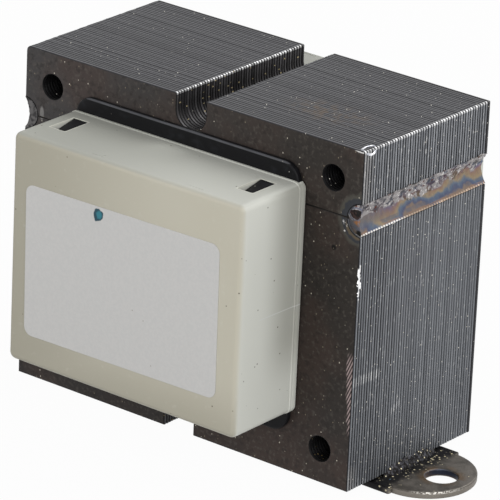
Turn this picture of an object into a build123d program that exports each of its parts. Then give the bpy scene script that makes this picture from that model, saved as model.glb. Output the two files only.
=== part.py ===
from build123d import *
import os

# Laminated core of E and I stampings, all Es below the joint and all Is above it
centre_leg_width = 22.225
outer_leg_width = 11.1125
window_width = 11.1125
window_height = 33.3375
e_yoke_height = 11.1125
i_yoke_height = 11.1125
lamination_thickness = 0.635
lamination_count = 50
corner_hole_diameter = 4.06
corner_hole_inset = 5.55625
notch_width = 5.9
notch_depth = 5.4
edge_groove_width = 0.24
edge_groove_depth = 0.12

# Weld across the E and I joint, in a round groove down each side
weld_groove_radius = 2.6
weld_hollow = 1.0
weld_tip_trim = 0.12
weld_end_length = 1.4
weld_end_proud = 0.3
weld_end_chamfer = 0.24
weld_end_fill = 0.6

# Mounting strap under the core
strap_thickness = 1.2
strap_width = 18.45
strap_step = 0.5
strap_step_run = 1.5
strap_step_inset = 2.0
shoulder_reach = 3.1
shoulder_fillet = 0.6
ear_radius = 8.42
ear_centre_reach = 2.85
foot_hole_spacing = 79.375
foot_hole_diameter = 5.2
strap_weld_leg = 1.0
strap_weld_length = 13.0
strap_weld_radius = 2.4

# Insulating shroud pushed into the windows from each face of the core
liner_wall = 0.75
liner_ledge = 1.25
liner_clearance = 0.2
liner_leg_gap = 0.25
liner_middle_gap = 0.6
shroud_thickness = 1.1
shroud_top_overlap = 6.2
shroud_bottom_overlap = 4.56
shroud_corner = 3.0

# Coil former around the centre leg
leg_clearance = 0.35
former_wall = 1.2
former_flange = 1.0
former_corner = 1.4
flange_clearance = 0.21
flange_corner = 2.0
seat_clearance = 0.12
primary_share = 0.56
end_slot_width = 2.2
end_slot_depth = 3.2

# Windings and their tape, wound outward from the former
winding_margin = 1.6
tap_share = 0.35
layer_tape_thickness = 0.15
outer_tape_thickness = 0.3
winding_corner_growth = 0.6
winding_side_gap = 0.1

# Crimped splices on the winding ends, on an insulating pad
primary_splice_count = 4
secondary_splice_count = 2
splice_across_flats = 2.2
splice_sides = 6
splice_bore = 1.3
splice_length = 7.5
splice_pitch = 6.2
pad_thickness = 0.3
pad_width = 26.0
pad_margin = 0.6

# Snap cover over the coil end
cover_wall = 1.3
cover_head_room = 3.35
cover_front_room = 3.7
cover_side_corner = 1.2
cover_inner_corner = 0.3
cover_front_round = 0.9
cover_lip_width = 0.5
cover_lip_proud = 0.1
skirt_wall = 0.62
skirt_fit = 0.1
skirt_gap = 0.2
slot_width = 3.05
slot_length = 5.7
slot_rear_margin = 2.8
slot_edge_distance = 4.25
exit_width = 18.0
exit_depth = 3.4
exit_offset = -4.5

# Latch arms of the shroud, one in each slot of the cover
arm_thickness = 1.0
arm_clearance = 0.12
arm_side_clearance = 0.2
arm_tip_length = 0.8
latch_clearance = 0.15
latch_recess = 0.05

# Rating label on the front cover
label_width = 38.3
label_height = 25.0
label_corner = 1.5
label_thickness = 0.12
label_shift = -0.49
label_drop = 1.13
label_tilt = 0.75

# Sizes that follow from the ones above
core_width = centre_leg_width + 2 * window_width + 2 * outer_leg_width
core_depth = lamination_thickness * lamination_count
half_width = core_width / 2
half_depth = core_depth / 2
ear_top = strap_thickness
core_bottom = strap_thickness + strap_step
window_bottom = core_bottom + e_yoke_height
joint_height = window_bottom + window_height
core_top = joint_height + i_yoke_height
e_height = joint_height - core_bottom
window_centre_x = (centre_leg_width + window_width) / 2
hole_x = half_width - corner_hole_inset
notch_radius = notch_width / 2
notch_straight = notch_depth - notch_radius

liner_outer_x = centre_leg_width + 2 * window_width - 2 * liner_clearance
liner_inner_x = liner_outer_x - 2 * liner_wall
liner_bottom = window_bottom + liner_clearance
liner_top = joint_height - liner_clearance
opening_bottom = liner_bottom + liner_ledge
opening_top = liner_top - liner_wall
liner_length = half_depth - liner_middle_gap / 2
shroud_face = half_depth + shroud_thickness
shroud_bottom = window_bottom - shroud_bottom_overlap
shroud_top = joint_height + shroud_top_overlap

former_inner_x = centre_leg_width + 2 * leg_clearance
former_inner_y = core_depth + 2 * leg_clearance
former_outer_x = former_inner_x + 2 * former_wall
former_outer_y = former_inner_y + 2 * former_wall
flange_x = liner_inner_x - 2 * flange_clearance
flange_reach = (flange_x - former_outer_x) / 2
flange_y = former_outer_y + 2 * flange_reach
former_bottom = opening_bottom + seat_clearance
former_top = opening_top - seat_clearance
former_height = former_top - former_bottom
bay_height = former_height - 3 * former_flange
primary_bottom = former_bottom + former_flange
primary_top = primary_bottom + bay_height * primary_share
secondary_bottom = primary_top + former_flange
secondary_top = former_top - former_flange

copper_build = flange_reach - winding_margin - layer_tape_thickness - outer_tape_thickness
main_end = copper_build * (1 - tap_share)
tap_start = main_end + layer_tape_thickness
tap_end = tap_start + copper_build * tap_share
tape_end = tap_end + outer_tape_thickness
primary_low = primary_bottom + winding_side_gap
primary_high = primary_top - winding_side_gap
secondary_low = secondary_bottom + winding_side_gap
secondary_high = secondary_top - winding_side_gap
coil_face = former_outer_y / 2 + tape_end
pad_face = coil_face + pad_thickness

cover_width = liner_outer_x + 2 * (skirt_fit + skirt_wall)
cover_bottom = opening_bottom - arm_thickness - arm_clearance - cover_wall
cover_top = former_top + cover_head_room + cover_wall
cover_height = cover_top - cover_bottom
cover_centre = (cover_top + cover_bottom) / 2
cover_face = flange_y / 2 + cover_front_room + cover_wall
cover_depth = cover_face - shroud_face
slot_x = cover_width / 2 - slot_edge_distance
slot_rear = shroud_face + slot_rear_margin
slot_front = slot_rear + slot_length
arm_width = slot_width - 2 * arm_side_clearance

ear_centre = half_width + ear_centre_reach
ear_tip = ear_centre + ear_radius
step_inner = half_width - strap_step_inset - strap_step_run
step_outer = half_width - strap_step_inset


def seen_from_front(y):
    # Plane at depth y whose sketch reads as the front view, with X across and Z up
    return Plane.XZ.offset(-y)


def grooved_edge(face, inward, direction):
    # Points along a lamination edge face, with a fine V where two laminations meet
    points = []
    for gap in range(1, lamination_count):
        y = -half_depth + gap * lamination_thickness
        points.append((face, y - edge_groove_width / 2))
        points.append((face + inward * edge_groove_depth, y))
        points.append((face, y + edge_groove_width / 2))
    return points if direction > 0 else points[::-1]


def grooved_strip(left, right, inward):
    # Closed outline between two grooved edges; inward is 1 for a solid and -1 for a slot
    points = [(right, -half_depth)]
    points += grooved_edge(right, -inward, 1)
    points += [(right, half_depth), (left, half_depth)]
    points += grooved_edge(left, inward, -1)
    points.append((left, -half_depth))
    return points


def coil_outline(build):
    # Outline around the former wall at a given build, with cut corners, seen from above
    x = former_outer_x / 2 + build
    y = former_outer_y / 2 + build
    cut = former_corner + build * winding_corner_growth
    corners = [(x, y - cut), (x - cut, y), (cut - x, y), (-x, y - cut)]
    return corners + [(-across, -along) for across, along in corners]


def winding_ring(inner_build, outer_build, bottom, top):
    # Ring wound around the former, between two builds from its wall
    with BuildPart() as ring:
        with BuildSketch(Plane.XY.offset(bottom)):
            Polygon(*coil_outline(outer_build), align=None)
            Polygon(*coil_outline(inner_build), align=None, mode=Mode.SUBTRACT)
        extrude(amount=top - bottom)
    return ring


def bead_section(hollow):
    # Section of the right weld bead: the round groove filled up to a hollow outer face
    hollow_radius = (weld_groove_radius**2 + hollow**2) / (2 * hollow)
    with Locations((half_width, joint_height)):
        Circle(weld_groove_radius)
    with Locations((half_width - hollow + hollow_radius, joint_height)):
        Circle(hollow_radius, mode=Mode.SUBTRACT)
    with Locations((half_width, joint_height)):
        Rectangle(
            2 * weld_groove_radius,
            2 * (weld_groove_radius - weld_tip_trim),
            align=(Align.MAX, Align.CENTER),
            mode=Mode.INTERSECT,
        )


def save(part, name):
    part.label = name
    export_step(part, "parts/" + name + ".step")


os.makedirs("parts", exist_ok=True)

# E laminations: three legs on a yoke, with the bottom notch and two corner holes
with BuildPart() as e_laminations:
    with BuildSketch(Plane.XY.offset(core_bottom)):
        with BuildLine():
            Polyline(grooved_strip(-half_width, half_width, 1), close=True)
        make_face()
    extrude(amount=e_height)
    with BuildSketch(Plane.YZ.offset(-half_width)):
        with BuildLine():
            lower_edge = [(y, z) for z, y in grooved_edge(core_bottom, 1, 1)]
            Polyline(
                (-half_depth, core_bottom),
                *lower_edge,
                (half_depth, core_bottom),
                (half_depth, joint_height),
                (-half_depth, joint_height),
                close=True,
            )
        make_face()
    extrude(amount=core_width, mode=Mode.INTERSECT)
    with BuildSketch(seen_from_front(-half_depth)):
        with Locations((0, core_bottom)):
            Rectangle(core_width, e_height, align=(Align.CENTER, Align.MIN))
        with Locations((-window_centre_x, window_bottom), (window_centre_x, window_bottom)):
            Rectangle(
                window_width, window_height, align=(Align.CENTER, Align.MIN), mode=Mode.SUBTRACT
            )
        with Locations((-half_width, joint_height), (half_width, joint_height)):
            Circle(weld_groove_radius, mode=Mode.SUBTRACT)
        with Locations(
            (-hole_x, core_bottom + corner_hole_inset), (hole_x, core_bottom + corner_hole_inset)
        ):
            Circle(corner_hole_diameter / 2, mode=Mode.SUBTRACT)
        with Locations((0, core_bottom + notch_straight)):
            Circle(notch_radius, mode=Mode.SUBTRACT)
    extrude(amount=-core_depth, mode=Mode.INTERSECT)
    with BuildSketch(Plane.XY.offset(core_bottom)):
        with BuildLine():
            Polyline(grooved_strip(-notch_radius, notch_radius, -1), close=True)
        make_face()
    extrude(amount=notch_straight, mode=Mode.SUBTRACT)

# I laminations: the closing yoke, with the top notch and two corner holes
with BuildPart() as i_laminations:
    with BuildSketch(Plane.XY.offset(joint_height)):
        with BuildLine():
            Polyline(grooved_strip(-half_width, half_width, 1), close=True)
        make_face()
    extrude(amount=i_yoke_height)
    with BuildSketch(Plane.YZ.offset(-half_width)):
        with BuildLine():
            upper_edge = [(y, z) for z, y in grooved_edge(core_top, -1, 1)]
            Polyline(
                (-half_depth, core_top),
                *upper_edge,
                (half_depth, core_top),
                (half_depth, joint_height),
                (-half_depth, joint_height),
                close=True,
            )
        make_face()
    extrude(amount=core_width, mode=Mode.INTERSECT)
    with BuildSketch(seen_from_front(-half_depth)):
        with Locations((0, core_top)):
            Rectangle(core_width, i_yoke_height, align=(Align.CENTER, Align.MAX))
        with Locations((-half_width, joint_height), (half_width, joint_height)):
            Circle(weld_groove_radius, mode=Mode.SUBTRACT)
        with Locations(
            (-hole_x, core_top - corner_hole_inset), (hole_x, core_top - corner_hole_inset)
        ):
            Circle(corner_hole_diameter / 2, mode=Mode.SUBTRACT)
        with Locations((0, core_top - notch_straight)):
            Circle(notch_radius, mode=Mode.SUBTRACT)
    extrude(amount=-core_depth, mode=Mode.INTERSECT)
    with BuildSketch(Plane.XY.offset(core_top - notch_straight)):
        with BuildLine():
            Polyline(grooved_strip(-notch_radius, notch_radius, -1), close=True)
        make_face()
    extrude(amount=notch_straight, mode=Mode.SUBTRACT)

save(e_laminations.part, "e_lamination_stack")
save(i_laminations.part, "i_lamination_stack")

# Weld beads: hollow fillings of the side grooves, each with a fuller blob where the weld ended
with BuildPart() as right_weld:
    with BuildSketch(seen_from_front(-half_depth)):
        bead_section(weld_hollow)
    extrude(amount=-core_depth)
    with BuildSketch(seen_from_front(-half_depth - weld_end_proud)):
        bead_section(weld_hollow - weld_end_fill)
    extrude(amount=-weld_end_length - weld_end_proud)
    end_face = right_weld.faces().filter_by(Axis.Y).sort_by(Axis.Y)[0]
    chamfer(end_face.edges(), weld_end_chamfer)

with BuildPart() as left_weld:
    add(right_weld.part.rotate(Axis.Z, 180))

save(right_weld.part, "right_weld_bead")
save(left_weld.part, "left_weld_bead")

# Mounting strap: flat under the core, one small step down to the two drilled ears
with BuildPart() as mounting_strap:
    with BuildSketch(seen_from_front(-strap_width / 2)):
        with BuildLine():
            Polyline(
                (-ear_tip, 0),
                (-step_outer, 0),
                (-step_inner, strap_step),
                (step_inner, strap_step),
                (step_outer, 0),
                (ear_tip, 0),
                (ear_tip, strap_thickness),
                (step_outer, strap_thickness),
                (step_inner, core_bottom),
                (-step_inner, core_bottom),
                (-step_outer, strap_thickness),
                (-ear_tip, strap_thickness),
                close=True,
            )
        make_face()
    extrude(amount=-strap_width)
    with BuildSketch():
        Rectangle(2 * (half_width + shoulder_reach), strap_width)
        with Locations((-ear_centre, 0), (ear_centre, 0)):
            Circle(ear_radius)
        shoulders = vertices().filter_by(lambda corner: abs(corner.Y) < strap_width / 2)
        fillet(shoulders.filter_by(lambda corner: abs(corner.Y) > ear_radius / 2), shoulder_fillet)
        with GridLocations(foot_hole_spacing, 0, 2, 1):
            Circle(foot_hole_diameter / 2, mode=Mode.SUBTRACT)
    extrude(amount=core_bottom, mode=Mode.INTERSECT)

save(mounting_strap.part, "mounting_strap")

# Fillet weld between each side of the core and the ear below it
with BuildPart() as right_strap_weld:
    with BuildSketch(seen_from_front(-strap_weld_length / 2)):
        with BuildLine():
            corner = Line((half_width, core_bottom + strap_weld_leg), (half_width, ear_top))
            Line(corner @ 1, (half_width + strap_weld_leg, ear_top))
            RadiusArc((half_width + strap_weld_leg, ear_top), corner @ 0, strap_weld_radius)
        make_face()
    extrude(amount=-strap_weld_length)

with BuildPart() as left_strap_weld:
    add(mirror(right_strap_weld.part, about=Plane.YZ))

save(right_strap_weld.part, "right_strap_weld")
save(left_strap_weld.part, "left_strap_weld")

# Coil former: a rectangular tube around the centre leg with two end flanges and a divider,
# whose corners are cut to clear the shroud
with BuildPart() as coil_former:
    with BuildSketch(Plane.XY.offset(former_bottom)):
        Polygon(*coil_outline(0), align=None)
    extrude(amount=former_height)
    for level in (former_bottom, primary_top, secondary_top):
        with BuildSketch(Plane.XY.offset(level)):
            Rectangle(flange_x, flange_y)
            chamfer(vertices(), flange_corner)
        extrude(amount=former_flange)
    with BuildSketch(Plane.XY.offset(former_bottom)):
        Rectangle(former_inner_x, former_inner_y)
    extrude(amount=former_height, mode=Mode.SUBTRACT)
    # Slots at the front edge where the winding ends come out
    with BuildSketch(Plane.XY.offset(former_bottom)):
        with Locations((0, -flange_y / 2)):
            with GridLocations(splice_pitch, 1, primary_splice_count, 1):
                Rectangle(end_slot_width, 2 * end_slot_depth)
    extrude(amount=former_flange, mode=Mode.SUBTRACT)
    with BuildSketch(Plane.XY.offset(secondary_top)):
        with Locations((0, -flange_y / 2)):
            with GridLocations(2 * splice_pitch, 1, secondary_splice_count, 1):
                Rectangle(end_slot_width, 2 * end_slot_depth)
    extrude(amount=former_flange, mode=Mode.SUBTRACT)

save(coil_former.part, "coil_former")

# Windings and tape, each a ring wound over the one before it
main_winding = winding_ring(0, main_end, primary_low, primary_high)
layer_tape = winding_ring(main_end, tap_start, primary_low, primary_high)
tap_winding = winding_ring(tap_start, tap_end, primary_low, primary_high)
primary_tape = winding_ring(tap_end, tape_end, primary_low, primary_high)
secondary_winding = winding_ring(0, tap_end, secondary_low, secondary_high)
secondary_tape = winding_ring(tap_end, tape_end, secondary_low, secondary_high)
save(main_winding.part, "primary_main_winding")
save(layer_tape.part, "primary_layer_tape")
save(tap_winding.part, "primary_tap_winding")
save(primary_tape.part, "primary_outer_tape")
save(secondary_winding.part, "secondary_winding")
save(secondary_tape.part, "secondary_outer_tape")


def splice_pad(low, high):
    # Thin insulating pad flat on the front of a taped winding
    with BuildPart() as pad:
        with BuildSketch(seen_from_front(-coil_face)):
            with Locations((0, (low + high) / 2)):
                Rectangle(pad_width, high - low - 2 * pad_margin)
        extrude(amount=pad_thickness)
    return pad


def splice_row(count, pitch, middle):
    # Hexagonal crimped sleeves standing side by side on the pad
    with BuildPart() as row:
        with BuildSketch(Plane.XY.offset(middle - splice_length / 2)):
            with Locations((0, -pad_face - splice_across_flats / 2)):
                with GridLocations(pitch, 1, count, 1):
                    RegularPolygon(splice_across_flats / 2, splice_sides, major_radius=False)
                    RegularPolygon(splice_bore / 2, splice_sides, mode=Mode.SUBTRACT)
        extrude(amount=splice_length)
    return row


primary_pad = splice_pad(primary_low, primary_high)
secondary_pad = splice_pad(secondary_low, secondary_high)
primary_middle = (primary_low + primary_high) / 2
secondary_middle = (secondary_low + secondary_high) / 2
primary_splices = splice_row(primary_splice_count, splice_pitch, primary_middle)
secondary_splices = splice_row(secondary_splice_count, 2 * splice_pitch, secondary_middle)
save(primary_pad.part, "primary_splice_pad")
save(secondary_pad.part, "secondary_splice_pad")
save(primary_splices.part, "primary_splices")
save(secondary_splices.part, "secondary_splices")


def latch_outline(wall_face, up):
    # Side view of a latch arm under a cover wall; up is 1 at the top wall, -1 at the lower one
    arm_outer = wall_face - up * (cover_wall + arm_clearance)
    arm_inner = arm_outer - up * arm_thickness
    return [
        (-half_depth, arm_inner),
        (-slot_front - arm_tip_length, arm_inner),
        (-slot_front - arm_tip_length, arm_outer),
        (-slot_front, arm_outer),
        (-slot_rear - latch_clearance, wall_face - up * latch_recess),
        (-slot_rear - latch_clearance, arm_outer),
        (-half_depth, arm_outer),
    ]


# Shroud: a face plate on the core, channels lining both windows, and four latch arms
with BuildPart() as front_shroud:
    with BuildSketch(seen_from_front(-half_depth)):
        with Locations((0, (shroud_bottom + shroud_top) / 2)):
            RectangleRounded(liner_outer_x, shroud_top - shroud_bottom, shroud_corner)
        with Locations((0, opening_bottom)):
            Rectangle(
                liner_inner_x,
                opening_top - opening_bottom,
                align=(Align.CENTER, Align.MIN),
                mode=Mode.SUBTRACT,
            )
    extrude(amount=shroud_thickness)
    with BuildSketch(seen_from_front(-half_depth)):
        with Locations((0, liner_bottom)):
            Rectangle(
                liner_outer_x, liner_top - liner_bottom, align=(Align.CENTER, Align.MIN)
            )
            Rectangle(
                centre_leg_width + 2 * liner_leg_gap,
                liner_top - liner_bottom,
                align=(Align.CENTER, Align.MIN),
                mode=Mode.SUBTRACT,
            )
        with Locations((0, opening_bottom)):
            Rectangle(
                liner_inner_x,
                opening_top - opening_bottom,
                align=(Align.CENTER, Align.MIN),
                mode=Mode.SUBTRACT,
            )
    extrude(amount=-liner_length)
    for x in (-slot_x, slot_x):
        for wall_face, up in ((cover_top, 1), (cover_bottom, -1)):
            with BuildSketch(Plane.YZ.offset(x - arm_width / 2)):
                Polygon(*latch_outline(wall_face, up), align=None)
            extrude(amount=arm_width)

with BuildPart() as rear_shroud:
    add(front_shroud.part.rotate(Axis.Z, 180))

save(front_shroud.part, "front_shroud")
save(rear_shroud.part, "rear_shroud")

# Cover: a thin box open to the core, with a lip, side skirts over the shroud and four slots
with BuildPart() as front_cover:
    with BuildSketch(seen_from_front(-shroud_face)):
        with Locations((0, cover_centre)):
            RectangleRounded(cover_width, cover_height, cover_side_corner)
    extrude(amount=cover_depth)
    fillet(front_cover.faces().sort_by(Axis.Y)[0].edges(), cover_front_round)
    with BuildSketch(seen_from_front(-shroud_face)):
        with Locations((0, cover_centre)):
            RectangleRounded(
                cover_width + 2 * cover_lip_proud,
                cover_height + 2 * cover_lip_proud,
                cover_side_corner + cover_lip_proud,
            )
    extrude(amount=cover_lip_width)
    with BuildSketch(seen_from_front(-half_depth - skirt_gap)):
        with Locations((0, cover_centre)):
            RectangleRounded(
                cover_width + 2 * cover_lip_proud,
                cover_height + 2 * cover_lip_proud,
                cover_side_corner + cover_lip_proud,
            )
            Rectangle(liner_outer_x + 2 * skirt_fit, 2 * cover_height, mode=Mode.SUBTRACT)
    extrude(amount=shroud_thickness - skirt_gap)
    with BuildSketch(seen_from_front(-shroud_face)):
        with Locations((0, cover_centre)):
            RectangleRounded(
                cover_width - 2 * cover_wall, cover_height - 2 * cover_wall, cover_inner_corner
            )
    extrude(amount=cover_depth - cover_wall, mode=Mode.SUBTRACT)
    with BuildSketch(Plane.XY.offset(cover_bottom - cover_wall)):
        with Locations((0, -(slot_rear + slot_front) / 2)):
            with GridLocations(2 * slot_x, 1, 2, 1):
                Rectangle(slot_width, slot_length)
    extrude(amount=cover_height + 2 * cover_wall, mode=Mode.SUBTRACT)
    # Shallow exit notch in the rim of the lower wall
    with BuildSketch(Plane.XY.offset(cover_bottom - cover_wall)):
        with Locations((exit_offset, -shroud_face)):
            Rectangle(exit_width, exit_depth, align=(Align.CENTER, Align.MAX))
    extrude(amount=2 * cover_wall, mode=Mode.SUBTRACT)

with BuildPart() as rear_cover:
    add(front_cover.part.rotate(Axis.Z, 180))

save(front_cover.part, "front_cover")
save(rear_cover.part, "rear_cover")

# Rating label, stuck very slightly askew on the front cover
with BuildPart() as rating_label:
    with BuildSketch(seen_from_front(-cover_face)):
        with Locations((label_shift, cover_centre - label_drop)):
            RectangleRounded(label_width, label_height, label_corner, rotation=label_tilt)
    extrude(amount=label_thickness)

save(rating_label.part, "rating_label")
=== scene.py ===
import bpy
import bmesh
import math
import random
from mathutils import Matrix, Vector, noise


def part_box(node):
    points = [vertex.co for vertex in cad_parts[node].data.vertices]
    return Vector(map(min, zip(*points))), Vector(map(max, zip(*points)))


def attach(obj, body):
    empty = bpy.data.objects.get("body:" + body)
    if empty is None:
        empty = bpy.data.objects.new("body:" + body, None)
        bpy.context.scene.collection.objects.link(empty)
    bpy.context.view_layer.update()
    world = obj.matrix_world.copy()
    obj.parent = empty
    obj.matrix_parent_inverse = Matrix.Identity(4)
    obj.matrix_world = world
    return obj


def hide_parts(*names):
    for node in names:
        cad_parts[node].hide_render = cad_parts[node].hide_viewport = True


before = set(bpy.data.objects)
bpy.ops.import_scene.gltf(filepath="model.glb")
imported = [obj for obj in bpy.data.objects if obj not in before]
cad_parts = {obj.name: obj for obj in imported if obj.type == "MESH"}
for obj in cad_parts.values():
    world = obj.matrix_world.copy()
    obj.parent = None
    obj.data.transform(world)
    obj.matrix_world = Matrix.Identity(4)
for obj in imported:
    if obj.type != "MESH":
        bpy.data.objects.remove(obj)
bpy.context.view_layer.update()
mm = 0.001
print("frame loaded:", len(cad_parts), "solids")

# places read from the frame, in metres
eLow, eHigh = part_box("e_lamination_stack")
iLow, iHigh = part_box("i_lamination_stack")
shroudLow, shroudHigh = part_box("front_shroud")
coverLow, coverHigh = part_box("front_cover")
labelLow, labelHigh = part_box("rating_label")
halfWidth = eHigh.x
halfDepth = eHigh.y
coreBottom = eLow.z
coreTop = iHigh.z
jointHeight = iLow.z

# the same places in millimetres, for the finishes
sideX = halfWidth / mm
frontY = -halfDepth / mm
backY = halfDepth / mm
topZ = coreTop / mm
footZ = coreBottom / mm
jointZ = jointHeight / mm

finishes = {}


# shader helpers
def maths(operation, swapped=False):
    # a method that puts one Math node behind a wire
    def method(self, other=0.0):
        first, second = (other, self) if swapped else (self, other)
        return self.shader.node("Math", {"operation": operation}, {0: first, 1: second})

    return method


class Wire:
    # one socket of a shader, so that sums on it read as plain maths
    def __init__(self, shader, socket):
        self.shader = shader
        self.socket = socket

    __add__ = __radd__ = maths("ADD")
    __sub__ = maths("SUBTRACT")
    __rsub__ = maths("SUBTRACT", swapped=True)
    __mul__ = __rmul__ = maths("MULTIPLY")
    __truediv__ = maths("DIVIDE")
    __lt__ = maths("LESS_THAN")
    larger = maths("MAXIMUM")
    smaller = maths("MINIMUM")
    size = maths("ABSOLUTE")
    floor = maths("FLOOR")

    def wave(self):
        # 0 in the middle of each whole step and 1 at its ends
        return (self - self.floor() - 0.5).size() * 2

    def fade(self, start, end):
        # 0 at start and 1 at end, smooth between; start may lie above end
        return self.shader.node(
            "MapRange",
            {"interpolation_type": "SMOOTHSTEP"},
            {"Value": self, "From Min": start, "From Max": end},
        )

    def between(self, low, high, soft):
        # 1 from low to high, with soft ends
        return self.fade(low - soft, low) * self.fade(high + soft, high)


class Shader:
    # the nodes of one material or world
    def __init__(self, owner):
        owner.use_nodes = True
        self.owner = owner
        self.tree = owner.node_tree
        self.tree.nodes.clear()

    def node(self, kind, settings=None, sockets=None, output=0):
        made = self.tree.nodes.new("ShaderNode" + kind)
        for name, value in (settings or {}).items():
            if name == "stops":
                setStops(made.color_ramp, value)
            else:
                setattr(made, name, value)
        for name, value in (sockets or {}).items():
            if isinstance(value, Wire):
                self.tree.links.new(value.socket, made.inputs[name])
            else:
                made.inputs[name].default_value = value
        return Wire(self, made.outputs[output]) if made.outputs else None


class Finish(Shader):
    # A finish is painted in layers, on places in millimetres. Its look holds these:
    # colours as a screen shows them, and as a fourth number how strong their layer is,
    # rough: middle and spread, then the scale and detail of its noise,
    # bump: strength and depth in millimetres, then the scale and detail of its noise,
    # and metal, coat and level for the sockets of these names.
    def __init__(self, name, look):
        super().__init__(bpy.data.materials.new(name))
        self.look = look
        self.tone = None
        metres = self.node("TexCoord", output="Object")
        self.place = self.node("VectorMath", {"operation": "SCALE"}, {0: metres, "Scale": 1 / mm})
        self.x, self.y, self.z = [self.node("SeparateXYZ", {}, {0: self.place}, axis) for axis in "XYZ"]

    def colour(self, given):
        # a colour of the look by its name, or a wire as it is
        return seen(*self.look[given][:3]) if isinstance(given, str) else given

    def mix(self, amount, first, second):
        # colours blend through a Mix node, which keeps their hue
        sockets = {0: amount, 6: self.colour(first), 7: self.colour(second)}
        return self.node("Mix", {"data_type": "RGBA"}, sockets, 2)

    def paint(self, given, mask):
        # lays a colour over what is there, where the mask is 1
        strength = self.look[given][3:] if isinstance(given, str) else ()
        self.tone = self.mix(mask * strength[0] if strength else mask, self.tone, given)

    def stretched(self, stretch):
        return self.node("VectorMath", {"operation": "MULTIPLY"}, {0: self.place, 1: stretch})

    def cloud(self, scale, detail=2.0, stretch=(1, 1, 1)):
        # noise from 0 to 1, with about scale lumps to a millimetre
        sockets = {"Vector": self.stretched(stretch), "Scale": scale, "Detail": detail}
        return self.node("TexNoise", {}, sockets)

    def scatter(self, given, scale, radius, share, stretch=(1, 1, 1), mask=1.0):
        # small round marks of a colour, in a share of the cells
        cell = {"Vector": self.stretched(stretch), "Scale": scale}
        near = self.node("TexVoronoi", {}, cell, "Distance")
        pick = self.node("SeparateColor", {}, {0: self.node("TexVoronoi", {}, cell, "Color")})
        self.paint(given, near.fade(radius, radius * 0.4) * (pick < share) * mask)

    def away(self, centre, stretch=(1, 1, 1), place=None):
        # distance from a point, where stretch above 1 narrows a shape along that axis
        wide = tuple(c * w for c, w in zip(centre, stretch))
        sockets = {0: place or self.stretched(stretch), 1: wide}
        return self.node("VectorMath", {"operation": "DISTANCE"}, sockets, "Value")

    def spot(self, centre, radius, soft, stretch=(1, 1, 1)):
        return self.away(centre, stretch).fade(radius + soft, radius)

    def finish(self, uneven=None, height=None):
        # closes the material, with the look's own noises unless other wires are given
        look = self.look
        rough, spread, *grain = look["rough"]
        if spread:
            rough = rough + (uneven or self.cloud(*grain)) * spread
        strength, depth, *grain = look["bump"]
        bump = {"Strength": strength, "Distance": depth * mm, "Height": height or self.cloud(*grain)}
        surface = self.node("BsdfPrincipled", {}, {
            "Base Color": self.tone,
            "Roughness": rough,
            "Metallic": look.get("metal", 0.0),
            "Coat Weight": look.get("coat", 0.0),
            "Specular IOR Level": look.get("level", 0.5),
            "Normal": self.node("Bump", {}, bump),
        })
        self.node("OutputMaterial", {}, {"Surface": surface})
        finishes[self.owner.name] = self.owner


def setStops(ramp, stops):
    while len(ramp.elements) < len(stops):
        ramp.elements.new(1.0)
    for element, (position, colour) in zip(ramp.elements, stops):
        element.position = position
        element.color = seen(*colour)


def seen(red, green, blue):
    # a colour given as it looks on a screen, 0 to 255, as the shader wants it
    linear = [((c / 255 + 0.055) / 1.055) ** 2.4 if c > 10 else c / 255 / 12.92 for c in (red, green, blue)]
    return (*linear, 1.0)


# mesh helpers
def arc(centre, radius, start, end, steps):
    # points from start to end angle in degrees, both included
    angles = [math.radians(start + (end - start) * i / steps) for i in range(steps + 1)]
    return [(centre[0] + radius * math.cos(a), centre[1] + radius * math.sin(a)) for a in angles]


def ring(centre, radius, count):
    # a full circle of count points
    return arc(centre, radius, 0, 360 - 360 / count, count - 1)


def roundedBox(width, height, corner, steps, centre=(0, 0)):
    # outline of a rectangle with rounded corners, anticlockwise
    x, z = width / 2 - corner, height / 2 - corner
    points = []
    for cx, cz, start in ((x, z, 0), (-x, z, 90), (-x, -z, 180), (x, -z, 270)):
        points += arc((centre[0] + cx, centre[1] + cz), corner, start, start + 90, steps)
    return points


def stampedPlate(outlines, thickness, edgeRound, roundSteps=1):
    # flat plate with rounded edges from closed outlines, the first outside and the others holes;
    # its mid-plane is z = 0
    curve = bpy.data.curves.new("outline", "CURVE")
    curve.dimensions = "2D"
    curve.fill_mode = "BOTH"
    curve.extrude = thickness / 2 - edgeRound
    curve.bevel_depth = edgeRound
    curve.bevel_resolution = roundSteps
    curve.offset = -edgeRound
    for outline in outlines:
        addLine(curve, [(across, up, 0) for across, up in outline])
    return curveMesh(curve)


def addLine(curve, points):
    # a closed line of straight pieces
    spline = curve.splines.new("POLY")
    spline.points.add(len(points) - 1)
    for point, place in zip(spline.points, points):
        point.co = (*place, 1)
    spline.use_cyclic_u = True


def curveMesh(curve):
    holder = bpy.data.objects.new(curve.name, curve)
    mesh = bpy.data.meshes.new_from_object(holder)
    bpy.data.objects.remove(holder)
    bpy.data.curves.remove(curve)
    return mesh


def standUp(mesh, depth):
    # turns a plate made flat so that it faces the front, with its middle at that depth
    mesh.transform(Matrix.Translation((0, depth, 0)) @ Matrix.Rotation(math.radians(90), 4, "X"))
    return mesh


def turnedRound(mesh):
    copy = mesh.copy()
    copy.transform(Matrix.Rotation(math.pi, 4, "Z"))
    return copy


def joined(meshes):
    # one mesh from several
    made = bmesh.new()
    for mesh in meshes:
        made.from_mesh(mesh)
        bpy.data.meshes.remove(mesh)
    result = bpy.data.meshes.new("joined")
    made.to_mesh(result)
    made.free()
    return result


def block(low, high):
    # plain box between two corners
    mesh = bpy.data.meshes.new("block")
    corners = [(x, y, z) for x in (low[0], high[0]) for y in (low[1], high[1]) for z in (low[2], high[2])]
    sides = [(0, 1, 3, 2), (4, 6, 7, 5), (0, 4, 5, 1), (2, 3, 7, 6), (0, 2, 6, 4), (1, 5, 7, 3)]
    mesh.from_pydata(corners, [], sides)
    return mesh


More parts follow.
